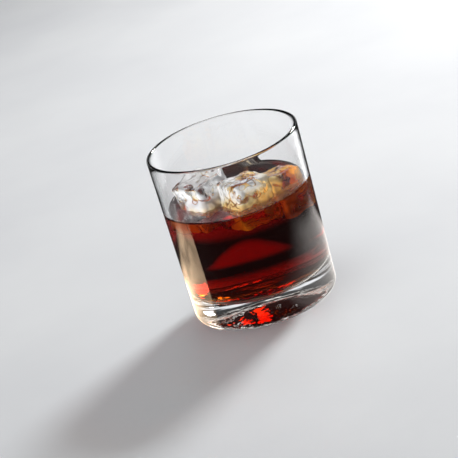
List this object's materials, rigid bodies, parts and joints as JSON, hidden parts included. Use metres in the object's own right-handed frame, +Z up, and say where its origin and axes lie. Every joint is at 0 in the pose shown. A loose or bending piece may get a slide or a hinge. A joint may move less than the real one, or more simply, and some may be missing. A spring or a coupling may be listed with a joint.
{
  "type": "glass of rum on ice",
  "caption": "Heavy-based rocks tumbler of dark red-brown rum with ice cubes standing out of the drink.",
  "frame": {"origin": "centre of the foot's circle, on the plane the tumbler stands on", "axes": "+Z up along the tumbler's axis; +Y away from the side seen in the reference view"},
  "size_m": [0.082, 0.082, 0.094],
  "materials": {
    "tumbler_glass": "clear polished glass",
    "rum": "clear dark red-brown spirit",
    "ice": "clear ice, wet and melted smooth"
  },
  "bodies": {
    "root": {"tumbler": "tumbler_glass", "rum": "rum", "ice_left": "ice", "ice_middle": "ice", "ice_right": "ice"}
  },
  "joints": []
}
